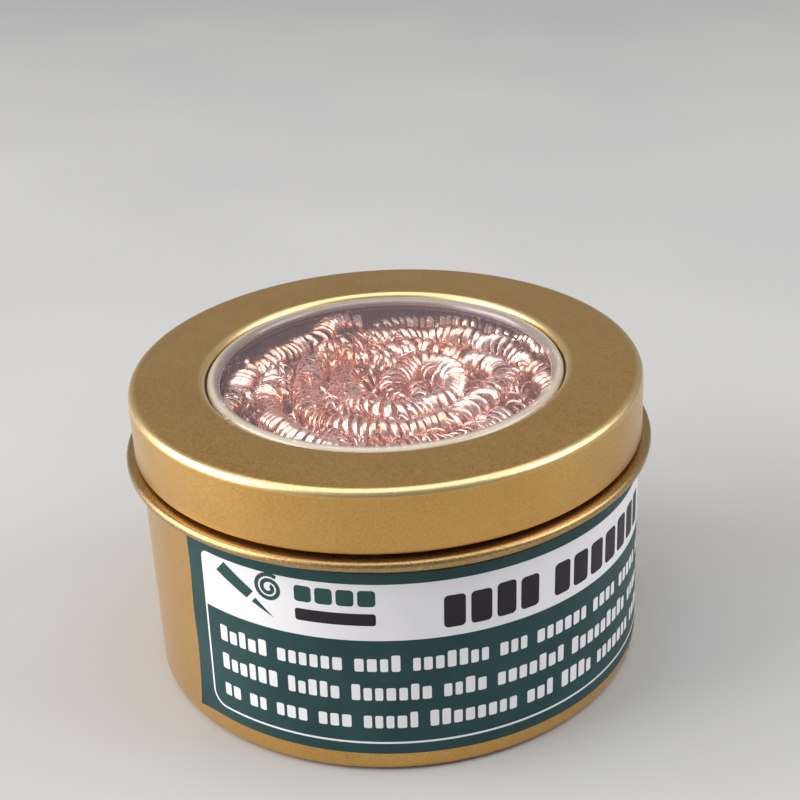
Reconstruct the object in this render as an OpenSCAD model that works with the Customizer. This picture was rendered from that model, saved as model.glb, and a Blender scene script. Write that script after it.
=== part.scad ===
// Slip-lid round tin with a clear window in its lid, holding a nest of curled copper-coloured
// ribbon for wiping soldering tips. The origin is the centre of the foot and +Z points up.

/* [Tin] */
// Outside diameter of the lid
lid_d = 60; // [56:0.5:66]
// Overall height with the lid on
total_h = 36; // [36:0.5:44]
// Height of the lid's outside skirt
lid_h = 7.6; // [6.5:0.1:9]
// Thickness of the tinplate
sheet_t = 0.25; // [0.2:0.01:0.3]
// How far the body wall stands inside the lid's outside
wall_inset = 0.55; // [0.4:0.05:0.8]
// Outside radius of the rolled bead's rounding
bead_r = 0.6; // [0.5:0.05:0.9]
// How far the bead stands out past the lid
bead_reach = 1.05; // [0.8:0.05:1.4]
// Outside radius of the bottom corner
foot_corner = 1; // [0.8:0.1:1.5]
// Height of the recess under the foot
recess = 0.5; // [0.4:0.05:0.7]

/* [Lid] */
// Diameter of the window opening in the lid
opening_d = 42.2; // [38:0.2:44]
// Outside radius of the rounding at the lid's top edge
lid_corner = 0.9; // [0.6:0.05:1.5]
// Outside radius of the rounding at the window opening
opening_corner = 0.8; // [0.5:0.05:0.9]
// Depth of the turned-down edge of the opening
opening_drop = 1.2; // [1:0.05:1.3]
// Thickness of the clear window
window_t = 0.4; // [0.3:0.05:0.5]
// Width of the window's raised rim
rim_w = 1.5; // [1.2:0.05:1.8]

/* [Label] */
// Height of the label
label_h = 23.4; // [15:0.2:24]
// Angle that the label covers round the tin
label_span = 156; // [60:1:300]
// Angle from the middle of the front to the label's first edge
label_lead = 51; // [0:1:120]
// Thickness of the label
label_t = 0.1; // [0.05:0.01:0.15]

/* [Wire nest] */
// Outside diameter of one curled strand
strand_d = 3.6; // [3:0.1:3.6]
// Radius of one wound ring of three passes of a strand
bundle_r = 4.05; // [3.6:0.05:4.05]

/* [Hidden] */
$fn = 96;
gold = "#b58a45";
copper = "#c98b7c";

// Pressed sheet. A path is a list of [x, z, heading], where x is the distance from the tin's axis.
bend_step = 15;

function moved(s, d) = [s[0] + d * cos(s[2]), s[1] + d * sin(s[2]), s[2]];

function turned(s, angle, r) =
    let (k = sign(angle), h = s[2] + angle)
    [s[0] + k * r * (sin(h) - sin(s[2])), s[1] - k * r * (cos(h) - cos(s[2])), h];

// Each step is [straight run, turn to the left in degrees, centreline bend radius]
function sheet_path(s, steps, i = 0) =
    i == len(steps) ? [s] :
    let (
        after = moved(s, steps[i][0]),
        angle = steps[i][1],
        n = ceil(abs(angle) / bend_step),
        curve = [for (j = [1:1:n - 1]) turned(after, angle * j / n, steps[i][2])],
        next = angle == 0 ? after : turned(after, angle, steps[i][2]),
        corner = (steps[i][0] > 0 && angle != 0) ? [after] : []
    )
    concat([s], corner, curve, sheet_path(next, steps, i + 1));

function beside(path, d) = [for (s = path) [s[0] - d * sin(s[2]), s[1] + d * cos(s[2])]];

function reversed(list) = [for (i = [len(list) - 1:-1:0]) list[i]];

module pressed(path, t) {
    rotate_extrude()
        polygon(concat(beside(path, t / 2), reversed(beside(path, -t / 2))));
}

// Tin body
lid_r = lid_d / 2;
wall_r = lid_r - wall_inset;
wall_x = wall_r - sheet_t / 2;
lid_clearance = 0.225;
hem_bend = 0.25;
neck_x = lid_r - 2 * sheet_t - 2 * hem_bend - lid_clearance + sheet_t / 2;
bead_bend = bead_r - sheet_t / 2;
bead_x = lid_r + bead_reach - bead_r;
lid_bottom = total_h - lid_h;
lid_gap = 0.42;
bead_z = lid_bottom - lid_gap - bead_r;
root_bend = 0.3;
curl_bend = 0.35;
rim_gap = 0.1;
rim_z = total_h - sheet_t - rim_gap;
recess_bend = 0.5;
recess_turn = acos(1 - recess / (2 * recess_bend));
foot_bend = foot_corner - sheet_t / 2;
foot_w = 3.3;
recess_end = wall_x - foot_bend - foot_w;
recess_run = recess_end - 2 * recess_bend * sin(recess_turn);

body_path = sheet_path([0, recess + sheet_t / 2, 0], [
    [recess_run, -recess_turn, recess_bend],
    [0, recess_turn, recess_bend],
    [foot_w, 90, foot_bend],
    [bead_z - bead_bend - root_bend - foot_corner, -90, root_bend],
    [bead_x - wall_x - root_bend, 180, bead_bend],
    [bead_x - neck_x - root_bend, -90, root_bend],
    [rim_z - curl_bend - sheet_t / 2 - bead_z - bead_bend - root_bend, 225, curl_bend]
]);

module tin_body() {
    color(gold) pressed(body_path, sheet_t);
}

// Lid
opening_r = opening_d / 2;
hem_h = 1;
lid_path = sheet_path([opening_r + sheet_t / 2, total_h - opening_drop, 90], [
    [opening_drop - opening_corner, -90, opening_corner - sheet_t / 2],
    [lid_r - lid_corner - opening_r - opening_corner, -90, lid_corner - sheet_t / 2],
    [lid_h - lid_corner - hem_bend - sheet_t / 2, -180, hem_bend],
    [hem_h, 0, 0]
]);

module lid_shell() {
    color(gold) pressed(lid_path, sheet_t);
}

// Window: a pane, a raised rim that fills the opening and a flange under the lid
window_gap = 0.2;
flange_w = 3;
window_bend = 0.3;
crown_bend = (rim_w - window_t) / 2;
crown_z = total_h - 0.3;
rim_x = opening_r - window_gap - window_t / 2;
flange_z = total_h - opening_drop - 0.05 - window_t / 2;
pane_z = flange_z + 0.2;
crown_mid = crown_z - window_t / 2 - crown_bend;
window_path = sheet_path([0, pane_z, 0], [
    [rim_x - 2 * crown_bend - window_bend, 90, window_bend],
    [crown_mid - pane_z - window_bend, -180, crown_bend],
    [crown_mid - flange_z - window_bend, 90, window_bend],
    [flange_w, 0, 0]
]);

module lid_window() {
    color([0.92, 0.9, 0.86, 0.4]) pressed(window_path, window_t);
}

// Label, a thin skin on the wall between the foot's corner and the bead
label_z = foot_corner + 1.2;
label_lift = 0.02;

module label() {
    color("#2f5a55")
        rotate([0, 0, -90 - label_lead])
        rotate_extrude(angle = label_span)
        translate([wall_r + label_lift, label_z])
        square([label_t, label_h]);
}

// Wound rings, each the outer shape of three passes of one strand
floor_z = recess + sheet_t;
nest_gap = 0.1;
bundle_pitch = 2 * (bundle_r + nest_gap / 2);
outer_ring_r = 23.6;
core_r = outer_ring_r - 2 * bundle_pitch - bundle_r - 0.15;

function tier_z(tier) = floor_z + 0.2 + bundle_r + tier * bundle_pitch;

module wound_ring(tier, place) {
    color(copper)
        translate([0, 0, tier_z(tier)])
        rotate_extrude()
        translate([outer_ring_r - place * bundle_pitch, 0])
        circle(bundle_r);
}

module strand_core() {
    color(copper)
        translate([0, 0, floor_z + 0.2])
        cylinder(r = core_r, h = 2 * bundle_r + 2 * bundle_pitch);
}

// Free strands, each one tube of the curl's outside diameter along its own route
strand_r = strand_d / 2;
tube_sides = 8;

function unit(v) = v / norm(v);

function heading(route, i) =
    unit(route[min(i + 1, len(route) - 1)] - route[max(i - 1, 0)]);

function tube_ring(p, along) =
    let (across = unit(cross(along, [0, 0, 1])), up = cross(across, along))
    [for (k = [0:tube_sides - 1])
        let (a = 360 * k / tube_sides)
        p + strand_r * (cos(a) * across + sin(a) * up)];

module tube(route) {
    last = len(route) - 1;
    points = [for (i = [0:last]) each tube_ring(route[i], heading(route, i))];
    sides = [for (i = [0:last - 1], k = [0:tube_sides - 1])
        let (a = i * tube_sides, b = (k + 1) % tube_sides)
        [a + k, a + tube_sides + k, a + tube_sides + b, a + b]];
    start_cap = [for (k = [0:tube_sides - 1]) k];
    end_cap = [for (k = [tube_sides - 1:-1:0]) last * tube_sides + k];
    color(copper) polyhedron(points, concat([start_cap], sides, [end_cap]), convexity = 10);
}

// Two strands that run to and fro across the wound rings
cross_z = tier_z(2) + bundle_r + nest_gap + strand_r;
row_pitch = 4.4;
rows = 5;
nest_r = outer_ring_r + bundle_r;
uturn_steps = 6;

function row_y(j) = (j + 0.5) * row_pitch;

// Half length of the straight run between rows j and j + 1
function row_half(j) =
    let (y = row_y(min(j + 1, rows - 1)) + strand_r)
    sqrt(nest_r * nest_r - y * y) - row_pitch / 2 - strand_r;

function row_points(j) =
    let (side = j % 2 == 0 ? 1 : -1, x0 = -side * row_half(max(j - 1, 0)), x1 = side * row_half(j))
    [for (i = [0:3]) [x0 + (x1 - x0) * i / 3, row_y(j), cross_z]];

function uturn_points(j) =
    let (side = j % 2 == 0 ? 1 : -1)
    [for (i = [1:uturn_steps - 1])
        let (a = -90 + 180 * i / uturn_steps)
        [side * (row_half(j) + row_pitch / 2 * cos(a)), row_y(j) + row_pitch / 2 * (1 + sin(a)), cross_z]];

cross_route = [for (j = [0:rows - 1]) each concat(row_points(j), j < rows - 1 ? uturn_points(j) : [])];
cross_turn = 30;

module cross_strand(turn) {
    rotate([0, 0, turn]) tube(cross_route);
}

// Routes of the uppermost strands: [x, y, height above the strands that cross below]
right_route = [[8, -23, 0], [16, -18, 0.2], [22, -10, 0.6], [24, -1, 0.4], [22.3, 7.4, 0.2],
    [18, 14, 0.4], [12.6, 18.6, 0.6], [7, 21, 0.6], [2.4, 21.6, 0.2]];
left_route = [[3, -24, 0], [-8, -22.5, 0.2], [-16, -17.5, 0.4], [-21.5, -10, 0], [-23.8, -2, 0],
    [-23.4, 3.5, 0]];
back_route = [[3, -19.4, 0.2], [10, -17, 0], [15.5, -12, 0.4], [18.5, -5.5, 0.6], [19.6, 1.5, 0.4],
    [18, 7, 0.2], [14.4, 11.6, 0.6], [9.8, 15.2, 0.4], [4.8, 17, 0], [0.2, 17, 0],
    [-3.8, 15.8, 0.2]];
side_route = [[-2, -19.5, 0], [-9, -17.5, 0.4], [-14.5, -13, 0.6], [-18, -7, 0.4], [-19.4, -0.5, 0.2],
    [-18.4, 5.5, 0], [-15.8, 10.4, 0.2], [-12, 14, 0], [-8.9, 17, 0.4], [-7.4, 20, 1],
    [-5.2, 22, 1.3], [-2.2, 22.3, 0.9]];
front_route = [[13.8, -6.4, 0], [10.5, -10.5, 0.2], [5, -13.8, 0.6], [-1, -15, 0.8], [-7, -13, 0.6],
    [-11.5, -9, 0.8], [-14.3, -3.5, 0.6], [-14.4, 2, 0.2], [-13.2, 6.4, 0]];
swirl_route = [[-9.2, 10.6, 0.2], [-8.9, 6, 0.6], [-9.8, 1.5, 0.4], [-8.8, -4, 0.6], [-4.5, -8.6, 0.8],
    [1.5, -10, 0.8], [7, -8, 0.6], [10.6, -3.5, 0.8], [13.6, 1, 0.6], [13.6, 5.4, 0.2],
    [10.8, 9.3, 0], [6.4, 11.9, 0], [1.6, 12.6, 0.2], [-2, 11.6, 0.2]];
centre_route = [[-4.9, 8.4, 0], [-4.6, 3.8, 0.2], [-3.8, -1.4, 0.4], [0.8, -4.8, 0.6], [5.6, -2.8, 0.6],
    [8.6, 1.8, 0.4], [7.6, 6, 0.6], [4, 7.6, 0.8], [0.9, 5.2, 0.4], [1.2, 1.4, 0]];

top_z = cross_z + strand_d + nest_gap;
route_steps = 3;

function spline(p0, p1, p2, p3, t) =
    0.5 * (2 * p1 + (p2 - p0) * t + (2 * p0 - 5 * p1 + 4 * p2 - p3) * t * t
        + (3 * p1 - p0 - 3 * p2 + p3) * t * t * t);

function smooth_route(list) =
    let (last = len(list) - 1)
    [for (i = [0:last - 1], j = [0:route_steps - (i == last - 1 ? 0 : 1)])
        [0, 0, top_z] + spline(list[max(i - 1, 0)], list[i], list[i + 1], list[min(i + 2, last)],
            j / route_steps)];

tin_body();
lid_shell();
lid_window();
label();
wound_ring(0, 0);  // strand_low_outer
wound_ring(0, 1);  // strand_low_middle
wound_ring(0, 2);  // strand_low_inner
wound_ring(1, 0);  // strand_mid_outer
wound_ring(1, 1);  // strand_mid_middle
wound_ring(1, 2);  // strand_mid_inner
wound_ring(2, 0);  // strand_high_outer
wound_ring(2, 1);  // strand_high_middle
wound_ring(2, 2);  // strand_high_inner
strand_core();
cross_strand(cross_turn + 180);  // strand_cross_front
cross_strand(cross_turn);  // strand_cross_back
tube(smooth_route(right_route));  // strand_top_right
tube(smooth_route(left_route));  // strand_top_left
tube(smooth_route(back_route));  // strand_top_back
tube(smooth_route(side_route));  // strand_top_side
tube(smooth_route(front_route));  // strand_top_front
tube(smooth_route(swirl_route));  // strand_top_swirl
tube(smooth_route(centre_route));  // strand_top_centre
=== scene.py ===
import math

import bmesh
import bpy
import numpy as np
from mathutils import Matrix, Vector


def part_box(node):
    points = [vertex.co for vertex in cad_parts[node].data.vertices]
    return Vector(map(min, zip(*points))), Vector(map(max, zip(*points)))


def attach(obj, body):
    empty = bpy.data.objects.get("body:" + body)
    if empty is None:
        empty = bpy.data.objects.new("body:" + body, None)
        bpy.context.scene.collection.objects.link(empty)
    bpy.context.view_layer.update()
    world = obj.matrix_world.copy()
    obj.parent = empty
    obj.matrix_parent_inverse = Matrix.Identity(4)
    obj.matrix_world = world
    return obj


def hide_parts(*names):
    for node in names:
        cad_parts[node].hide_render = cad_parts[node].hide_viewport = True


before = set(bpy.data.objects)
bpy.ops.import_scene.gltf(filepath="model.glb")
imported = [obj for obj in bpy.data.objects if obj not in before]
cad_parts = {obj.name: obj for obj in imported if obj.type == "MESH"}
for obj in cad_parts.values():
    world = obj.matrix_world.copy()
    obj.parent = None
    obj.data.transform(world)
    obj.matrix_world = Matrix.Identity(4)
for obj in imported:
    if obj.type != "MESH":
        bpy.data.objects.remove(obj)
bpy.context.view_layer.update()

MM = 0.001
TAU = 2 * math.pi
rng = np.random.default_rng(7)

# ---------------------------------------------------------------- sizes

# The tin's sizes, from the frame where it shows them and otherwise as in the CAD model
body_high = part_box("tin_body")[1]
lid_low, lid_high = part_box("lid_shell")
window_low, window_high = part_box("lid_window")
label_low, label_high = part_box("label")
LID_R = lid_high.x
TOTAL_H = lid_high.z
LID_BOTTOM = lid_low.z
SHEET = 0.25 * MM
WALL_R = LID_R - 0.55 * MM
WALL_X = WALL_R - SHEET / 2
BEAD_R = 0.6 * MM
BEAD_BEND = BEAD_R - SHEET / 2
BEAD_X = body_high.x - BEAD_R
BEAD_Z = LID_BOTTOM - 0.42 * MM - BEAD_R
ROOT_BEND = 0.3 * MM
CURL_BEND = 0.35 * MM
HEM_BEND = 0.25 * MM
NECK_X = LID_R - 2 * SHEET - 2 * HEM_BEND - 0.225 * MM + SHEET / 2
RIM_Z = body_high.z
FOOT_CORNER = 1 * MM
FOOT_W = 3.3 * MM
RECESS = 0.5 * MM
RECESS_BEND = 0.5 * MM
OPENING_R = 21.1 * MM
OPENING_DROP = 1.2 * MM
OPENING_CORNER = 0.8 * MM
LID_CORNER = 0.9 * MM
QUARTER = math.pi / 2

# ---------------------------------------------------------------- camera, light and floor

CAMERA_BACK = 173.2 * MM
CAMERA_UP = 117.8 * MM
CAMERA_PITCH = math.radians(26.57)
CAMERA_YAW = math.radians(0.52)
CAMERA_ROLL = math.radians(-2.89)
CAMERA_LENS = 73.6
SENSOR = 36
SKY = (0.5, 0.51, 0.53)
SKY_STRENGTH = 0.5
FLOOR_SIZE = 6


def make_camera():
    data = bpy.data.cameras.new("camera")
    data.lens = CAMERA_LENS
    data.sensor_width = SENSOR
    data.clip_start = 0.01
    camera = bpy.data.objects.new("camera", data)
    forward = Vector((
        math.sin(CAMERA_YAW) * math.cos(CAMERA_PITCH),
        math.cos(CAMERA_YAW) * math.cos(CAMERA_PITCH),
        -math.sin(CAMERA_PITCH),
    ))
    level = Vector((math.cos(CAMERA_YAW), -math.sin(CAMERA_YAW), 0))
    rise = level.cross(forward)
    right = level * math.cos(CAMERA_ROLL) + rise * math.sin(CAMERA_ROLL)
    up = rise * math.cos(CAMERA_ROLL) - level * math.sin(CAMERA_ROLL)
    camera.matrix_world = Matrix((right, up, -forward)).transposed().to_4x4()
    camera.matrix_world.translation = (0, -CAMERA_BACK, CAMERA_UP)
    bpy.context.scene.collection.objects.link(camera)
    bpy.context.scene.camera = camera


def area_light(name, place, target, size, power, colour=(1, 1, 1), size_y=None):
    data = bpy.data.lights.new(name, "AREA")
    data.size = size
    if size_y:
        data.shape = "RECTANGLE"
        data.size_y = size_y
    data.energy = power
    data.color = colour
    light = bpy.data.objects.new(name, data)
    light.location = place
    aim = Vector(target) - Vector(place)
    light.rotation_euler = aim.to_track_quat("-Z", "Y").to_euler()
    bpy.context.scene.collection.objects.link(light)


def make_lights():
    """Places in metres and powers in watts. Every light faces the middle of the tin."""
    middle = (0, 0, 0.02)
    area_light("softbox_left", (-0.5, -0.05, 0.26), middle, size=0.5, power=4.5,
               colour=(1, 0.98, 0.96), size_y=0.5)
    area_light("softbox_right", (0.44, -0.06, 0.36), middle, size=0.4, power=1.7,
               colour=(1, 0.99, 0.98), size_y=0.36)
    area_light("softbox_above", (0, 0, 0.6), middle, size=0.6, power=2.1)
    area_light("panel_behind", (0, 0.62, 0.3), middle, size=0.9, power=0.1,
               colour=(1, 0.95, 0.9), size_y=0.4)


def make_world():
    world = bpy.data.worlds.new("studio")
    bpy.context.scene.world = world
    world.use_nodes = True
    sky = world.node_tree.nodes["Background"]
    sky.inputs["Color"].default_value = (*SKY, 1)
    sky.inputs["Strength"].default_value = SKY_STRENGTH


# ---------------------------------------------------------------- materials


class Paint:
    """A node material: a Principled shader and short calls for the textures that feed it."""

    def __init__(self, name, colour, metallic, roughness):
        self.material = bpy.data.materials.new(name)
        self.material.use_nodes = True
        self.tree = self.material.node_tree
        self.shader = self.tree.nodes["Principled BSDF"]
        self.set("Base Color", (*colour, 1))
        self.set("Metallic", metallic)
        self.set("Roughness", roughness)
        self.place = self.tree.nodes.new("ShaderNodeTexCoord").outputs["Object"]

    def set(self, socket, value):
        self.shader.inputs[socket].default_value = value

    def link(self, output, node, socket):
        self.tree.links.new(output, node.inputs[socket])

    def noise(self, feature, detail=3.0, roughness=0.55, distortion=0.0):
        """Noise whose features are about that many metres across."""
        node = self.tree.nodes.new("ShaderNodeTexNoise")
        self.link(self.place, node, "Vector")
        node.inputs["Scale"].default_value = 1 / feature
        node.inputs["Detail"].default_value = detail
        node.inputs["Roughness"].default_value = roughness
        node.inputs["Distortion"].default_value = distortion
        return node.outputs["Fac"]

    def spread(self, value, low, high, low_in=0.3, high_in=0.7):
        """Maps a noise value to a range."""
        node = self.tree.nodes.new("ShaderNodeMapRange")
        self.link(value, node, "Value")
        node.inputs["From Min"].default_value = low_in
        node.inputs["From Max"].default_value = high_in
        node.inputs["To Min"].default_value = low
        node.inputs["To Max"].default_value = high
        return node.outputs["Result"]

    def blend(self, share, first, second):
        node = self.tree.nodes.new("ShaderNodeMix")
        node.data_type = "RGBA"
        self.tree.links.new(share, node.inputs[0])
        for socket, colour in ((6, first), (7, second)):
            if isinstance(colour, tuple):
                node.inputs[socket].default_value = (*colour, 1)
            else:
                self.tree.links.new(colour, node.inputs[socket])
        return node.outputs[2]

    def away(self, axes):
        """The distance from the origin along some axes, (1, 1, 0) giving the radius from the tin's axis."""
        scale = self.tree.nodes.new("ShaderNodeVectorMath")
        scale.operation = "MULTIPLY"
        scale.inputs[1].default_value = axes
        self.link(self.place, scale, 0)
        length = self.tree.nodes.new("ShaderNodeVectorMath")
        length.operation = "LENGTH"
        self.link(scale.outputs[0], length, 0)
        return length.outputs["Value"]

    def together(self, operation, first, second):
        node = self.tree.nodes.new("ShaderNodeMath")
        node.operation = operation
        self.link(first, node, 0)
        self.link(second, node, 1)
        return node.outputs[0]

    def edge_highlight(self):
        """One on the lid's two rounded edges, where a paler gold is painted as their cream highlight."""
        radius, height = self.away((1, 1, 0)), self.away((0, 0, 1))
        opening = self.spread(radius, 1, 0, OPENING_R + 0.35 * MM, OPENING_R + 0.85 * MM)
        rim = self.spread(radius, 0, 1, LID_R - 0.95 * MM, LID_R - 0.4 * MM)
        top = self.spread(height, 0, 1, TOTAL_H - 0.95 * MM, TOTAL_H - 0.45 * MM)
        return self.together("MULTIPLY", self.together("MAXIMUM", opening, rim), top)

    def bead_shade(self):
        """One on the tin's bead, where a darker gold is painted as the shade under the lid's overhang."""
        return self.spread(self.away((1, 1, 0)), 0, 1, LID_R + 0.1 * MM, LID_R + 0.5 * MM)

    def crevice_shade(self):
        """Up to 0.75, in the narrow gap between the lid's lower edge and the bead: painted shade where the
        lid's hem shadows it.
        """
        radius, height = self.away((1, 1, 0)), self.away((0, 0, 1))
        inside = self.spread(radius, 0.75, 0, LID_R - 0.1 * MM, LID_R + 0.5 * MM)
        over = self.spread(height, 0, 1, BEAD_Z - 0.2 * MM, BEAD_Z + 0.15 * MM)
        under = self.spread(height, 1, 0, LID_BOTTOM, LID_BOTTOM + 0.3 * MM)
        return self.together("MULTIPLY", inside, self.together("MULTIPLY", over, under))

    def colour_from(self, output):
        self.link(output, self.shader, "Base Color")

    def roughness_from(self, output):
        self.link(output, self.shader, "Roughness")

    def bump(self, height, depth, strength=1.0, under=None):
        node = self.tree.nodes.new("ShaderNodeBump")
        node.inputs["Strength"].default_value = strength
        node.inputs["Distance"].default_value = depth
        self.link(height, node, "Height")
        if under is not None:
            self.link(under, node, "Normal")
        self.link(node.outputs["Normal"], self.shader, "Normal")
        return node.outputs["Normal"]


def gold_lacquer():
    paint = Paint("gold_lacquer", (0.58, 0.315, 0.09), 1.0, 0.34)
    patches = paint.spread(paint.noise(9 * MM), 0, 1)
    grain = paint.noise(0.22 * MM, detail=2)
    base = paint.blend(patches, (0.55, 0.285, 0.05), (0.6, 0.335, 0.07))
    # Painted highlight: the lid's rounded edges are paler so that their highlights read cream
    painted_light_and_shade = paint.blend(paint.edge_highlight(), base, (0.86, 0.68, 0.36))
    # Painted shade: the bead is darkened as if shaded by the lid above it
    painted_light_and_shade = paint.blend(paint.bead_shade(), painted_light_and_shade, (0.29, 0.19, 0.08))
    # Painted shade in the gap under the lid's hem
    painted_light_and_shade = paint.blend(paint.crevice_shade(), painted_light_and_shade, (0.18, 0.09, 0.035))
    paint.colour_from(paint.blend(paint.spread(grain, 0, 0.6), painted_light_and_shade, (0.76, 0.48, 0.17)))
    paint.roughness_from(paint.spread(grain, 0.3, 0.42))
    waves = paint.bump(paint.noise(7 * MM, detail=1), 0.05 * MM, 0.35)
    paint.bump(grain, 0.014 * MM, 0.7, under=waves)
    paint.set("Coat Weight", 0.5)
    paint.set("Coat Roughness", 0.27)
    return paint.material


def bare_tin():
    paint = Paint("bare_tin", (0.56, 0.52, 0.56), 1.0, 0.4)
    patches = paint.noise(4 * MM, detail=5)
    paint.colour_from(paint.blend(paint.spread(patches, 0, 1), (0.54, 0.44, 0.48), (0.76, 0.66, 0.7)))
    paint.roughness_from(paint.spread(patches, 0.34, 0.5))
    paint.bump(paint.noise(0.3 * MM), 0.01 * MM, 0.5)
    return paint.material


def copper():
    paint = Paint("copper_ribbon", (0.93, 0.56, 0.44), 1.0, 0.2)
    patches = paint.spread(paint.noise(8 * MM, detail=2), 0, 1, 0.42, 0.6)
    # Painted highlights: small near-white flecks over the copper
    painted_glints = paint.spread(paint.noise(0.6 * MM, detail=3), 0, 0.65)
    base = paint.blend(patches, (1.0, 0.7, 0.62), (0.98, 0.4, 0.2))
    # Painted reflections: dark red-brown patches standing in for reflections of the dark surroundings
    painted_dark_reflections = paint.spread(paint.noise(0.9 * MM, detail=3, distortion=0.5), 0, 0.7, 0.52, 0.66)
    light = paint.blend(painted_glints, base, (1.0, 0.84, 0.8))
    paint.colour_from(paint.blend(painted_dark_reflections, light, (0.66, 0.27, 0.18)))
    paint.roughness_from(paint.spread(paint.noise(0.5 * MM, detail=3), 0.17, 0.38))
    paint.bump(paint.noise(0.16 * MM, detail=2), 0.012 * MM, 0.6)
    return paint.material


def clear_sheet(name, colour, alpha, roughness):
    paint = Paint(name, colour, 0.0, roughness)
    paint.set("Alpha", alpha)
    paint.set("IOR", 1.5)
    haze = paint.noise(6 * MM, detail=4)
    paint.roughness_from(paint.spread(haze, roughness * 0.7, roughness * 1.5))
    paint.bump(paint.noise(3 * MM, detail=2), 0.02 * MM, 0.3)
    return paint.material


def rim_plastic():
    """The window's raised rim, paler at its outer side as a painted highlight on its crown, and greyer
    where it bends down inside.
    """
    paint = Paint("window_rim_clear", (0.5, 0.44, 0.38), 0.0, 0.2)
    inside = paint.spread(paint.away((1, 1, 0)), 0, 1, OPENING_R - 1.2 * MM, OPENING_R - 0.75 * MM)
    haze = paint.noise(5 * MM, detail=3)
    # Painted highlight: the outer side of the crown is pale cream
    outer = paint.blend(paint.spread(haze, 0, 1), (0.56, 0.49, 0.38), (0.66, 0.58, 0.46))
    paint.colour_from(paint.blend(inside, (0.33, 0.27, 0.25), outer))
    paint.roughness_from(paint.spread(haze, 0.14, 0.26))
    paint.set("Alpha", 0.72)
    paint.set("IOR", 1.9)
    return paint.material


def printed(name, first, second, roughness=0.4):
    paint = Paint(name, first, 0.0, roughness)
    fibres = paint.noise(0.5 * MM, detail=4)
    clouds = paint.noise(7 * MM, detail=3)
    base = paint.blend(paint.spread(clouds, 0, 1), first, second)
    paint.colour_from(paint.blend(paint.spread(fibres, 0, 0.35), base, second))
    paint.roughness_from(paint.spread(fibres, roughness * 0.85, roughness * 1.2))
    waves = paint.bump(paint.noise(5 * MM, detail=1), 0.04 * MM, 0.4)
    paint.bump(fibres, 0.006 * MM, 0.5, under=waves)
    paint.set("Specular IOR Level", 0.28)
    return paint.material


def floor_paint():
    paint = Paint("floor", (0.45, 0.45, 0.45), 0.0, 0.6)
    clouds = paint.spread(paint.noise(80 * MM, detail=2), 0, 1)
    paint.colour_from(paint.blend(clouds, (0.43, 0.43, 0.43), (0.47, 0.47, 0.46)))
    return paint.material


# ---------------------------------------------------------------- mesh helpers


def add_piece(name, verts, faces, materials, body, slot, *nodes, sharp=math.radians(40)):
    """Makes a smooth-shaded piece that rides a body and stands for CAD nodes. Its slot argument is not
    used.
    """
    mesh = bpy.data.meshes.new(name)
    mesh.from_pydata(verts, [], faces)
    mesh.validate()
    mesh.shade_smooth()
    mesh.set_sharp_from_angle(angle=sharp)
    for material in materials:
        mesh.materials.append(material)
    piece = bpy.data.objects.new(name, mesh)
    bpy.context.scene.collection.objects.link(piece)
    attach(piece, body)
    if nodes:
        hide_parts(*nodes)
    return piece


def make_floor():
    bpy.ops.mesh.primitive_plane_add(size=FLOOR_SIZE, location=(0, 0, 0))
    floor = bpy.context.object
    floor.name = "floor"
    floor.data.materials.append(floor_paint())


# ---------------------------------------------------------------- pressed sheet

BEND_STEP = math.radians(7.5)
TURNS = 240


def sheet_path(x, z, heading, steps):
    """The centreline of a pressed sheet. Each step is a straight run, a turn to the left and a radius."""
    path = [(x, z, heading)]
    for run, turn, radius in steps:
        if run > 0:
            x += run * math.cos(heading)
            z += run * math.sin(heading)
            path.append((x, z, heading))
        if turn:
            side = math.copysign(radius, turn)
            count = math.ceil(abs(turn) / BEND_STEP - 1e-6)
            start = heading
            for i in range(1, count + 1):
                new = start + turn * i / count
                x += side * (math.sin(new) - math.sin(heading))
                z -= side * (math.cos(new) - math.cos(heading))
                heading = new
                path.append((x, z, heading))
    return path


def revolve(name, path, thickness, left, right, body, slot, node):
    """Turns a pressed sheet round the tin's axis, with one material on each of its sides."""
    half = thickness / 2
    sides = []
    for d in (half, -half):
        sides.append([(x - d * math.sin(h), z + d * math.cos(h)) for x, z, h in path])
    outline = sides[0] + sides[1][::-1]
    on_axis = outline[0][0] < 1e-9
    count = len(outline)
    verts, faces = [], []
    for x, z in outline:
        for k in range(TURNS):
            a = TAU * k / TURNS
            verts.append((x * math.cos(a), x * math.sin(a), z))
    rows = range(count - 1) if on_axis else range(count)
    for i in rows:
        j = (i + 1) % count
        for k in range(TURNS):
            m = (k + 1) % TURNS
            faces.append((i * TURNS + k, j * TURNS + k, j * TURNS + m, i * TURNS + m))
    piece = add_piece(name, verts, faces, [left, right], body, slot, node)
    split = len(path)
    for polygon in piece.data.polygons:
        polygon.material_index = 0 if min(polygon.vertices) < (split - 1) * TURNS else 1
    if on_axis:
        weld = bmesh.new()
        weld.from_mesh(piece.data)
        bmesh.ops.remove_doubles(weld, verts=weld.verts, dist=1e-7)
        weld.to_mesh(piece.data)
        weld.free()
    return piece


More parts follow.
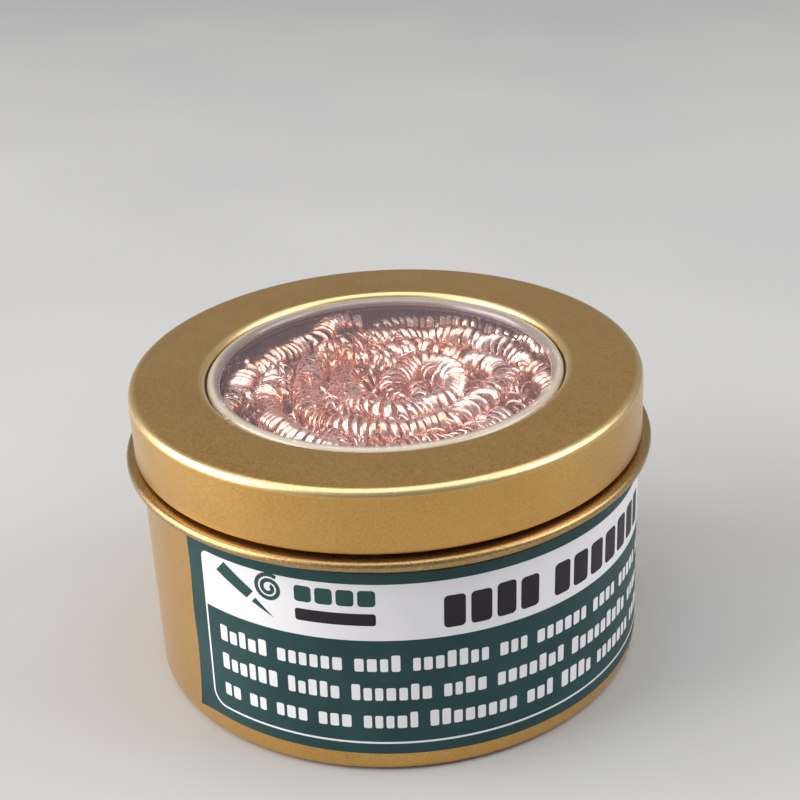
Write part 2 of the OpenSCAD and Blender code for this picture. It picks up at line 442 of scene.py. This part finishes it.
def make_body(gold, tin):
    """The drawn cup, from the middle of its base out and up to the curled rim."""
    recess_turn = math.acos(1 - RECESS / (2 * RECESS_BEND))
    foot_bend = FOOT_CORNER - SHEET / 2
    recess_end = WALL_X - foot_bend - FOOT_W
    path = sheet_path(0, RECESS + SHEET / 2, 0, [
        (recess_end - 2 * RECESS_BEND * math.sin(recess_turn), -recess_turn, RECESS_BEND),
        (0, recess_turn, RECESS_BEND),
        (FOOT_W, QUARTER, foot_bend),
        (BEAD_Z - BEAD_BEND - ROOT_BEND - FOOT_CORNER, -QUARTER, ROOT_BEND),
        (BEAD_X - WALL_X - ROOT_BEND, 2 * QUARTER, BEAD_BEND),
        (BEAD_X - NECK_X - ROOT_BEND, -QUARTER, ROOT_BEND),
        (RIM_Z - CURL_BEND - SHEET / 2 - BEAD_Z - BEAD_BEND - ROOT_BEND, 2.5 * QUARTER, CURL_BEND),
    ])
    revolve("tin_shell", path, SHEET, tin, gold, "tin", "gold_tinplate", "tin_body")


def make_lid(gold, tin):
    """The pressed lid, from the opening's lower edge out and down to the hem."""
    path = sheet_path(OPENING_R + SHEET / 2, TOTAL_H - OPENING_DROP, QUARTER, [
        (OPENING_DROP - OPENING_CORNER, -QUARTER, OPENING_CORNER - SHEET / 2),
        (LID_R - LID_CORNER - OPENING_R - OPENING_CORNER, -QUARTER, LID_CORNER - SHEET / 2),
        (TOTAL_H - LID_BOTTOM - LID_CORNER - HEM_BEND - SHEET / 2, -2 * QUARTER, HEM_BEND),
        (1 * MM, 0, 0),
    ])
    revolve("lid_pressing", path, SHEET, gold, tin, "lid", "gold_tinplate", "lid_shell")


WINDOW_T = 0.4 * MM
WINDOW_BEND = 0.3 * MM
RIM_W = 1.5 * MM
FLANGE_W = 3 * MM
PANE_LIFT = 0.2 * MM
PANE_GAP = 0.01 * MM
RIM_CLEARANCE = 0.2 * MM


def shade_rim(piece, wall_x, height, clear):
    """Clears the rim's inner wall, and paints shade on its outer wall in the narrow gap beside the lid."""
    paint = Paint("window_gap", (0.05, 0.03, 0.06), 0.0, 0.35)
    # Painted shadow of the gap, mottled by noise
    shade_mottle = paint.spread(paint.noise(1.5 * MM), 0, 1)
    paint.colour_from(paint.blend(shade_mottle, (0.04, 0.025, 0.05), (0.09, 0.06, 0.09)))
    piece.data.materials.append(paint.material)
    piece.data.materials.append(clear)
    for polygon in piece.data.polygons:
        if polygon.center.z < height:
            outside = math.hypot(polygon.center.x, polygon.center.y) > wall_x
            polygon.material_index = 2 if outside else 3


def make_window(pane_paint, rim_paint):
    """The clear window: a pane, and a rim that stands up in the lid's opening."""
    crown_bend = (RIM_W - WINDOW_T) / 2
    crown_mid = window_high.z - WINDOW_T / 2 - crown_bend
    rim_x = OPENING_R - RIM_CLEARANCE - WINDOW_T / 2
    flange_z = window_low.z + WINDOW_T / 2
    pane_z = flange_z + PANE_LIFT
    pane_end = rim_x - 2 * crown_bend - WINDOW_BEND
    pane = sheet_path(0, pane_z, 0, [(pane_end - PANE_GAP, 0, 0)])
    revolve("window_pane", pane, WINDOW_T, pane_paint, pane_paint, "lid", "clear_window", "lid_window")
    rim = sheet_path(pane_end, pane_z, 0, [
        (0, QUARTER, WINDOW_BEND),
        (crown_mid - pane_z - WINDOW_BEND, -2 * QUARTER, crown_bend),
        (crown_mid - flange_z - WINDOW_BEND, QUARTER, WINDOW_BEND),
        (FLANGE_W, 0, 0),
    ])
    rim_piece = revolve("window_rim", rim, WINDOW_T, rim_paint, rim_paint, "lid", "clear_window",
                        "lid_window")
    shade_rim(rim_piece, rim_x + WINDOW_T * 0.45, crown_mid + 0.05 * MM, pane_paint)


# ---------------------------------------------------------------- wire nest

STRAND_R = 1.8 * MM
RIBBON_W = 0.66 * MM
RIBBON_T = 0.045 * MM
# The ribbon's section, a shallow arch: [across in half widths, rise in widths, side]
SECTION = [(-1, 0, -1), (0, 0.16, -1), (1, 0, -1), (1, 0, 1), (0, 0.16, 1), (-1, 0, 1)]
NEST_GAP = 0.1 * MM
BUNDLE_R = 4.05 * MM
OUTER_RING_R = 23.6 * MM
RING_PASSES = 3
RING_STEPS = 140
RING_LAY = 2.2 * MM
RING_GAP = 0.35
RING_START = 1.7
CORE_TURNS = 4
CORE_SPREAD = 1.2 * MM
CORE_STEPS = 120
CROSS_ROWS = 5
CROSS_PITCH = 4.4 * MM
CROSS_TURN = math.radians(30)
TOP_CURL_R = 1.66 * MM
COARSE_PITCH = 1.05 * MM
COARSE_W = 0.7 * MM


def wander(length, step, size, seed):
    """A smooth random value along a strand, about zero and of about that size."""
    draws = np.random.default_rng(seed)
    t = np.arange(0, length, step)
    total = np.zeros_like(t)
    for wave in (5 * MM, 9 * MM, 17 * MM, 29 * MM):
        total += np.sin(TAU * t / (wave * draws.uniform(0.8, 1.25)) + draws.uniform(0, TAU))
    return size * total / 2


def along_route(points, step=0.2 * MM):
    """Evenly spaced points along a route."""
    points = np.asarray(points, float)
    reach = np.concatenate([[0], np.cumsum(np.linalg.norm(np.diff(points, axis=0), axis=1))])
    s = np.arange(0, reach[-1], step)
    return s, np.stack([np.interp(s, reach, points[:, i]) for i in range(3)], axis=1)


def route_frames(line):
    """Directions along, across and up at each point of a route, turned as little as possible."""
    along = np.gradient(line, axis=0)
    along /= np.linalg.norm(along, axis=1)[:, None]
    across = np.zeros_like(along)
    side = np.cross(along[0], (0, 0, 1.0))
    side /= np.linalg.norm(side)
    for i, direction in enumerate(along):
        side = side - (side @ direction) * direction
        side /= np.linalg.norm(side)
        across[i] = side
    return along, across, np.cross(along, across)


def per_turn(turns, at, size, seed):
    """A random value for each turn of a curl, run smoothly from one turn to the next."""
    draws = np.random.default_rng(seed).normal(0, size, int(turns) + 3)
    return np.interp(at, np.arange(len(draws)), np.clip(draws, -2 * size, 2 * size))


def curl_ribbon(points, seed, radius=1.58 * MM, pitch=0.98 * MM, width=RIBBON_W, turn_steps=16,
                meander=0.0):
    """The points and faces of a flat ribbon wound in turns along a route."""
    s, line = along_route(points)
    length = s[-1]
    step = s[1] - s[0]
    along, across, up = route_frames(line)

    def drift(size, offset):
        return wander(length + step, step, size, seed + offset)[:len(s)]

    line = line + drift(meander, 5)[:, None] * across + drift(meander * 0.4, 6)[:, None] * up
    ends = np.minimum(s, length - s)
    opened = 1 + 0.12 * np.exp(-((ends / (3 * MM)) ** 2))
    pitch_here = pitch * opened * (1 + drift(0.26, 0))
    phase = np.concatenate([[0], np.cumsum(TAU * step / pitch_here)])[:len(s)]
    count = int(phase[-1] / TAU * turn_steps)
    phi = np.linspace(0, phase[-1], count)
    at = np.interp(phi, phase, s)

    def here(values):
        if values.ndim == 1:
            return np.interp(at, s, values)[:, None]
        return np.stack([np.interp(at, s, values[:, i]) for i in range(3)], axis=1)

    turns = phi[-1] / TAU

    def each(size, offset):
        return per_turn(turns, phi / TAU, size, seed + offset)[:, None]

    turn = (phi + seed)[:, None]
    outward = np.cos(turn) * here(across) + np.sin(turn) * here(up)
    reach = radius * (1 + here(drift(0.04, 1)) + each(0.045, 2))
    lean = here(drift(0.3, 3)) + each(0.12, 4)
    centre = here(line) + reach * outward
    centre += reach * lean * np.sin(turn + here(s) * 90 + seed) * here(along)
    ahead = np.gradient(centre, axis=0)
    ahead /= np.linalg.norm(ahead, axis=1)[:, None]
    wide = here(along) - (here(along) * ahead).sum(1)[:, None] * ahead
    wide /= np.linalg.norm(wide, axis=1)[:, None]
    face = np.cross(ahead, wide)
    twist = 0.3 + here(drift(0.3, 7)) + each(0.2, 8)
    flat = np.cos(twist) * wide + np.sin(twist) * face
    depth = np.cos(twist) * face - np.sin(twist) * wide
    wide_here = width / pitch * here(pitch_here)
    corners = []
    for w, bulge, t in SECTION:
        corners.append(centre + w * flat * wide_here / 2 + depth * (bulge * wide_here + t * RIBBON_T / 2))
    verts = np.stack(corners, axis=1).reshape(-1, 3)
    n = len(SECTION)
    first = np.arange(count - 1)[:, None] * n
    faces = []
    for k in range(n):
        m = (k + 1) % n
        faces.append(np.concatenate([first + k, first + m, first + n + m, first + n + k], axis=1))
    faces = np.concatenate(faces).tolist()
    last = (count - 1) * n
    faces.append(list(range(n))[::-1])
    faces.append([last + k for k in range(n)])
    return verts.tolist(), faces


def make_strand(name, points, seed, material, **sizes):
    """A curl of ribbon that stands for the CAD node of the same name."""
    verts, faces = curl_ribbon(points, seed, **sizes)
    add_piece(name + "_ribbon", verts, faces, [material], "wire_nest", "copper_ribbon", name)


def ring_route(ring, twist, start):
    """Three passes of a strand round the tin, twisting about each other."""
    low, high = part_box(ring)
    radius = high.x - BUNDLE_R
    height = (low.z + high.z) / 2
    points = []
    for i in range(RING_PASSES * RING_STEPS):
        a = TAU * i / RING_STEPS
        if a > RING_PASSES * TAU - RING_GAP:
            break
        b = twist / RING_PASSES * a + 0.5 * math.sin(2 * a + start)
        r, rise = radius + RING_LAY * math.cos(b), RING_LAY * math.sin(b)
        points.append((r * math.cos(a + start), r * math.sin(a + start), height + rise))
    return points


def core_route():
    """A loose spiral up the middle of the nest."""
    low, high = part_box("strand_core")
    bottom = low.z + STRAND_R
    height = high.z - STRAND_R - bottom
    points = []
    for i in range(CORE_STEPS + 1):
        a = TAU * CORE_TURNS * i / CORE_STEPS
        rise = height * i / CORE_STEPS
        points.append((CORE_SPREAD * math.cos(a), CORE_SPREAD * math.sin(a), bottom + rise))
    return points


def cross_route(node, turn):
    """To and fro across the wound rings in rows."""
    low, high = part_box(node)
    height = (low.z + high.z) / 2
    pitch, rows = CROSS_PITCH, CROSS_ROWS
    nest_r = OUTER_RING_R + BUNDLE_R
    points = []
    for j in range(rows):
        side = 1 if j % 2 == 0 else -1

        def half(row):
            y = (min(row + 1, rows - 1) + 0.5) * pitch + STRAND_R
            return math.sqrt(nest_r * nest_r - y * y) - pitch / 2 - STRAND_R

        x0 = -side * half(max(j - 1, 0))
        x1 = side * half(j)
        y = (j + 0.5) * pitch
        points += [(x0 + (x1 - x0) * i / 12, y) for i in range(13)]
        if j < rows - 1:
            for i in range(1, 12):
                a = -QUARTER + 2 * QUARTER * i / 12
                points.append((x1 + side * pitch / 2 * math.cos(a), y + pitch / 2 * (1 + math.sin(a))))
    c, s = math.cos(turn), math.sin(turn)
    return [(x * c - y * s, x * s + y * c, height) for x, y in points]


# Routes of the uppermost strands in millimetres, as in the CAD model
TOP_ROUTES = {
    "right": [(8, -23, 0), (16, -18, 0.2), (22, -10, 0.6), (24, -1, 0.4), (22.3, 7.4, 0.2),
              (18, 14, 0.4), (12.6, 18.6, 0.6), (7, 21, 0.6), (2.4, 21.6, 0.2)],
    "left": [(3, -24, 0), (-8, -22.5, 0.2), (-16, -17.5, 0.4), (-21.5, -10, 0), (-23.8, -2, 0),
             (-23.4, 3.5, 0)],
    "back": [(3, -19.4, 0.2), (10, -17, 0), (15.5, -12, 0.4), (18.5, -5.5, 0.6), (19.6, 1.5, 0.4),
             (18, 7, 0.2), (14.4, 11.6, 0.6), (9.8, 15.2, 0.4), (4.8, 17, 0), (0.2, 17, 0),
             (-3.8, 15.8, 0.2)],
    "side": [(-2, -19.5, 0), (-9, -17.5, 0.4), (-14.5, -13, 0.6), (-18, -7, 0.4), (-19.4, -0.5, 0.2),
             (-18.4, 5.5, 0), (-15.8, 10.4, 0.2), (-12, 14, 0), (-8.9, 17, 0.4), (-7.4, 20, 1),
             (-5.2, 22, 1.3), (-2.2, 22.3, 0.9)],
    "front": [(13.8, -6.4, 0), (10.5, -10.5, 0.2), (5, -13.8, 0.6), (-1, -15, 0.8), (-7, -13, 0.6),
              (-11.5, -9, 0.8), (-14.3, -3.5, 0.6), (-14.4, 2, 0.2), (-13.2, 6.4, 0)],
    "swirl": [(-9.2, 10.6, 0.2), (-8.9, 6, 0.6), (-9.8, 1.5, 0.4), (-8.8, -4, 0.6), (-4.5, -8.6, 0.8),
              (1.5, -10, 0.8), (7, -8, 0.6), (10.6, -3.5, 0.8), (13.6, 1, 0.6), (13.6, 5.4, 0.2),
              (10.8, 9.3, 0), (6.4, 11.9, 0), (1.6, 12.6, 0.2), (-2, 11.6, 0.2)],
    "centre": [(-4.9, 8.4, 0), (-4.6, 3.8, 0.2), (-3.8, -1.4, 0.4), (0.8, -4.8, 0.6), (5.6, -2.8, 0.6),
               (8.6, 1.8, 0.4), (7.6, 6, 0.6), (4, 7.6, 0.8), (0.9, 5.2, 0.4), (1.2, 1.4, 0)],
}


def smooth_route(points, height):
    """A spline through the points, in metres."""
    points = np.array(points) * MM
    last = len(points) - 1
    line = []
    for i in range(last):
        p0, p1 = points[max(i - 1, 0)], points[i]
        p2, p3 = points[i + 1], points[min(i + 2, last)]
        for t in np.arange(0, 1, 1 / 16):
            line.append(0.5 * (2 * p1 + (p2 - p0) * t + (2 * p0 - 5 * p1 + 4 * p2 - p3) * t * t
                               + (3 * p1 - p0 - 3 * p2 + p3) * t ** 3))
    line.append(points[last])
    return np.array(line) + np.array((0, 0, height))


LOOSE_CURLS = 62
LOOSE_REACH = 17 * MM
LOOSE_RISE = (-0.7, 0.9)
LOOSE_STEP = 0.7 * MM
LOOSE_FINE_W = 0.24 * MM
LOOSE_BROAD_W = 0.46 * MM
PLACED_CURL_R = 1.45 * MM
# Curls that fill the spaces the photograph shows filled, in millimetres
PLACED_CURLS = [
    [(4.4, 21.6, 0.2), (2, 21.7, 0.3), (0, 21.4, 0), (-1.4, 20.8, -0.5)],
    [(3.4, 20, -0.8), (0.8, 19.9, -0.4), (-1.4, 19.4, -0.4), (-3.8, 18.7, -0.6), (-6, 18, -1)],
    [(-4.6, 14.2, -0.3), (-6.6, 14.6, 0.1), (-8.2, 15, -0.3)],
]


def make_loose_curls(height, material):
    """Short broken curls caught between the uppermost strands."""
    draws = np.random.default_rng(23)
    verts, faces = [], []
    for i in range(LOOSE_CURLS):
        a, r = TAU * (i * 0.618 + draws.uniform(0, 0.1)), LOOSE_REACH * math.sqrt((i + 0.5) / LOOSE_CURLS)
        heading = a + QUARTER + draws.uniform(-0.9, 0.9)
        x, y = r * math.cos(a), r * math.sin(a)
        rise = draws.uniform(*LOOSE_RISE) * MM
        bend = draws.uniform(-0.14, 0.14)
        route = []
        for k in range(int(draws.uniform(9, 16))):
            route.append((x, y, height + rise + 0.4 * MM * math.sin(k / 3 + i)))
            heading += bend
            x += LOOSE_STEP * math.cos(heading)
            y += LOOSE_STEP * math.sin(heading)
        fine = i % 3 > 0
        pitch = draws.uniform(1.3, 2.4) if fine else draws.uniform(1.1, 1.7)
        curl, sides = curl_ribbon(route, 500 + 10 * i, radius=draws.uniform(0.9, 1.35) * MM,
                                  pitch=pitch * MM, width=LOOSE_FINE_W if fine else LOOSE_BROAD_W,
                                  turn_steps=20)
        faces += [[len(verts) + k for k in side] for side in sides]
        verts += curl
    for i, points in enumerate(PLACED_CURLS):
        curl, sides = curl_ribbon(smooth_route(points, height), 900 + 10 * i,
                                  radius=PLACED_CURL_R, turn_steps=20)
        faces += [[len(verts) + k for k in side] for side in sides]
        verts += curl
    add_piece("loose_curls_ribbon", verts, faces, [material], "wire_nest", "copper_ribbon")


def make_nest(material):
    """Wound rings in three tiers, a core, two crossing strands, the top strands and loose curls."""
    seed = 11
    twists = {"outer": (10, 8, -10), "middle": (-7, 7, 7), "inner": (4, -5, 4)}
    for tier, level in enumerate(("low", "mid", "high")):
        for place in ("outer", "middle", "inner"):
            node = f"strand_{level}_{place}"
            route = ring_route(node, twists[place][tier], seed * RING_START)
            make_strand(node, route, seed, material, pitch=COARSE_PITCH, width=COARSE_W, turn_steps=12)
            seed += 10
    make_strand("strand_core", core_route(), seed, material, pitch=COARSE_PITCH, turn_steps=12)
    for offset, node, turn in ((10, "strand_cross_front", math.pi), (20, "strand_cross_back", 0)):
        make_strand(node, cross_route(node, CROSS_TURN + turn), seed + offset, material,
                    radius=TOP_CURL_R, meander=0.25 * MM)
    top_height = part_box("strand_cross_back")[1].z + NEST_GAP + STRAND_R
    for i, (place, points) in enumerate(TOP_ROUTES.items()):
        make_strand("strand_top_" + place, smooth_route(points, top_height), seed + 30 + 10 * i,
                    material, radius=TOP_CURL_R, turn_steps=20, meander=0.5 * MM)
    make_loose_curls(top_height, material)


# ---------------------------------------------------------------- label

LABEL_START = math.radians(-90 - 51)
LABEL_R = WALL_R + 0.02 * MM
LABEL_T = 0.1 * MM
LABEL_W = math.radians(156) * LABEL_R
INK = 0.012 * MM
LABEL_Z = label_low.z
LABEL_H = label_high.z - label_low.z
LABEL_RISE = 0.65 * MM
LABEL_FALL = 0.0135
LABEL_LEAN = 0.025
SIDE_MARGIN = 2.3 * MM
FOOT_MARGIN = 1.5 * MM
TOP_MARGIN = 1.35 * MM
PANEL_LOW = 15 * MM
PANEL_CORNER = 0.9 * MM
KEYLINE_W = 0.25 * MM
KEYLINE_BEND = 1.8 * MM
# Rows of small marks, each its height in millimetres and the number of marks in each word
TEXT_ROWS = [(11.0, (5, 6, 4, 7, 3, 6, 4, 5, 6)), (7.2, (6, 5, 7, 4, 7, 9, 4, 6)),
             (3.5, (2, 2, 3, 3, 5, 8, 3, 4, 7, 6))]


def label_point(u, v, lift):
    """A point of the label: u along it from its first edge, v up from its lower edge."""
    corner = max(0.0, 1 - (u + 0.7 * v) / (3.2 * MM))
    edge = max(0.0, 1 - u / (1.4 * MM))
    peel = 0.32 * MM * corner ** 2 + 0.05 * MM * edge ** 2 * (1 + math.sin(v / (1.7 * MM)))
    r = LABEL_R + lift + peel
    a = LABEL_START + (u + LABEL_LEAN * v) / LABEL_R
    return (r * math.cos(a), r * math.sin(a), LABEL_Z + LABEL_RISE - LABEL_FALL * u + v)


def label_shapes(name, outlines, low, high, material):
    """Flat shapes, each an outline of (u, v) points, laid on the label as one thin piece."""
    verts, faces = [], []
    for outline in outlines:
        flat = bmesh.new()
        face = flat.faces.new([flat.verts.new((u, v, 0)) for u, v in outline])
        face.normal_update()
        if face.normal.z < 0:
            face.normal_flip()
        bmesh.ops.triangulate(flat, faces=flat.faces[:])
        for axis in (0, 1):
            values = [p[axis] for p in outline]
            spacing = 0.6 * MM if axis == 0 else 1.5 * MM
            for i in range(1, int((max(values) - min(values)) / spacing)):
                place, normal = [0, 0, 0], [0, 0, 0]
                place[axis] = min(values) + i * spacing
                normal[axis] = 1
                geometry = flat.verts[:] + flat.edges[:] + flat.faces[:]
                bmesh.ops.bisect_plane(flat, geom=geometry, plane_co=place, plane_no=normal)
        flat.verts.index_update()
        base, count = len(verts), len(flat.verts)
        verts += [label_point(v.co.x, v.co.y, high) for v in flat.verts]
        verts += [label_point(v.co.x, v.co.y, low) for v in flat.verts]
        for f in flat.faces:
            loop = [base + v.index for v in f.verts]
            faces.append(loop)
            faces.append([i + count for i in reversed(loop)])
        for e in flat.edges:
            if e.is_boundary:
                walk = e.link_loops[0]
                a, b = base + walk.vert.index, base + walk.link_loop_next.vert.index
                faces.append([b, a, a + count, b + count])
        flat.free()
    add_piece(name, verts, faces, [material], "tin", "printed_label", "label")


def arc_points(u, v, radius, start, end, count=8):
    """Points of an arc about (u, v)."""
    return [(u + radius * math.cos(start + (end - start) * i / count),
             v + radius * math.sin(start + (end - start) * i / count)) for i in range(count + 1)]


def rounded_box(u0, v0, u1, v1, radii):
    """A rectangle with rounded corners. The radii start at the lower left and go anticlockwise."""
    a, b, c, d = radii
    return (arc_points(u0 + a, v0 + a, a, math.pi, 1.5 * math.pi)
            + arc_points(u1 - b, v0 + b, b, 1.5 * math.pi, TAU)
            + arc_points(u1 - c, v1 - c, c, 0, QUARTER)
            + arc_points(u0 + d, v1 - d, d, QUARTER, math.pi))


def stroke(points, width):
    """The outline of a line of that width."""
    left, right = [], []
    for i, p in enumerate(points):
        a, b = points[max(i - 1, 0)], points[min(i + 1, len(points) - 1)]
        du, dv = b[0] - a[0], b[1] - a[1]
        size = math.hypot(du, dv)
        nu, nv = -dv / size * width / 2, du / size * width / 2
        left.append((p[0] + nu, p[1] + nv))
        right.append((p[0] - nu, p[1] - nv))
    return left + right[::-1]


def blank_words(u, v, counts, width, height, gap, space, uneven=0.0):
    """A row of small blank marks in place of words, one count of marks to a word."""
    marks = []
    r = min(width, height) * 0.22
    for count in counts:
        for _ in range(count):
            tall = height * (1 + uneven * rng.choice((0, 0, 0, 0.45)))
            wide = width * (1 + uneven * rng.uniform(-0.25, 0.2))
            marks.append(rounded_box(u, v, u + wide, v + tall, (r, r, r, r)))
            u += wide + gap
        u += space
    return marks


def make_label():
    """The sheet, its white panel and line, and blank marks in place of its words."""
    teal = printed("label_teal", (0.009, 0.042, 0.045), (0.018, 0.066, 0.068))
    white = printed("label_white", (0.84, 0.83, 0.86), (0.90, 0.89, 0.91))
    dark = printed("label_dark", (0.012, 0.009, 0.014), (0.02, 0.016, 0.024))
    green = printed("label_green", (0.014, 0.055, 0.05), (0.022, 0.075, 0.068))
    sheet = [(0, 0), (LABEL_W, 0), (LABEL_W, LABEL_H), (0, LABEL_H)]
    label_shapes("label_sheet", [sheet], 0, LABEL_T, teal)
    over = LABEL_T + INK
    side, foot, panel_low, panel_high = SIDE_MARGIN, FOOT_MARGIN, PANEL_LOW, LABEL_H - TOP_MARGIN
    line, bend = KEYLINE_W, KEYLINE_BEND
    square = 0.01 * MM
    panel = rounded_box(side, panel_low, LABEL_W - side, panel_high,
                        (square, square, PANEL_CORNER, PANEL_CORNER))
    left, right = side + line / 2, LABEL_W - side - line / 2
    key = ([(left, panel_low), (left, (panel_low + foot) / 2)]
           + arc_points(left + bend, foot + bend, bend, math.pi, 1.5 * math.pi)
           + arc_points(right - bend, foot + bend, bend, 1.5 * math.pi, TAU)
           + [(right, (panel_low + foot) / 2), (right, panel_low)])
    label_shapes("label_panel", [panel], LABEL_T, over, white)
    label_shapes("label_keyline", [stroke(key, line)], LABEL_T, over, white)
    marks = []
    for height, counts in TEXT_ROWS:
        marks += blank_words(4.4 * MM, height * MM, counts, width=0.94 * MM, height=1.65 * MM,
                             gap=0.36 * MM, space=1.0 * MM, uneven=0.6)
    label_shapes("label_lines", marks, LABEL_T, over, white)
    heading = blank_words(30.6 * MM, 16.1 * MM, (4, 7), width=2.35 * MM, height=4.0 * MM,
                          gap=0.6 * MM, space=1.6 * MM, uneven=0.12)
    label_shapes("label_heading", heading, over, over + INK, dark)
    make_emblem(4.6 * MM, 16.0 * MM, over, green, dark)


def make_emblem(u0, v0, low, green, dark):
    """A plain picture of an iron's tip and a curl of wire, with blank marks beside it."""
    handle = [(0, 4.3), (1.2, 5.7), (5.0, 3.2), (4.1, 2.1)]
    bit = [(4.75, 1.85), (5.25, 2.45), (7.4, 0.5)]
    curl = [(7.0 + 1.75 * (1 - t * 0.8) * math.cos(2 * TAU * t + 1),
             4.2 + 1.75 * (1 - t * 0.8) * math.sin(2 * TAU * t + 1)) for t in np.linspace(0, 1, 40)]
    shapes = [[(u0 + u * MM, v0 + v * MM) for u, v in part] for part in (handle, bit)]
    shapes.append(stroke([(u0 + u * MM, v0 + v * MM) for u, v in curl], 0.48 * MM))
    shapes += blank_words(u0 + 10 * MM, v0 + 3.3 * MM, (4,), width=1.9 * MM, height=2.0 * MM,
                          gap=0.4 * MM, space=0)
    label_shapes("label_emblem", shapes, low, low + INK, green)
    under = blank_words(u0 + 10 * MM, v0 + 0.9 * MM, (1,), width=8.8 * MM, height=1.5 * MM,
                        gap=0, space=0)
    label_shapes("label_subline", under, low, low + INK, dark)


# ---------------------------------------------------------------- build

make_camera()
make_lights()
make_world()
make_floor()
gold, tin = gold_lacquer(), bare_tin()
make_body(gold, tin)
make_lid(gold, tin)
# The pane's faint pink tint is painted reflection haze over the nest
make_window(clear_sheet("window_clear", (0.9, 0.68, 0.71), 0.06, 0.06),
            rim_plastic())
make_nest(copper())
make_label()
bpy.context.scene.view_settings.view_transform = "Standard"
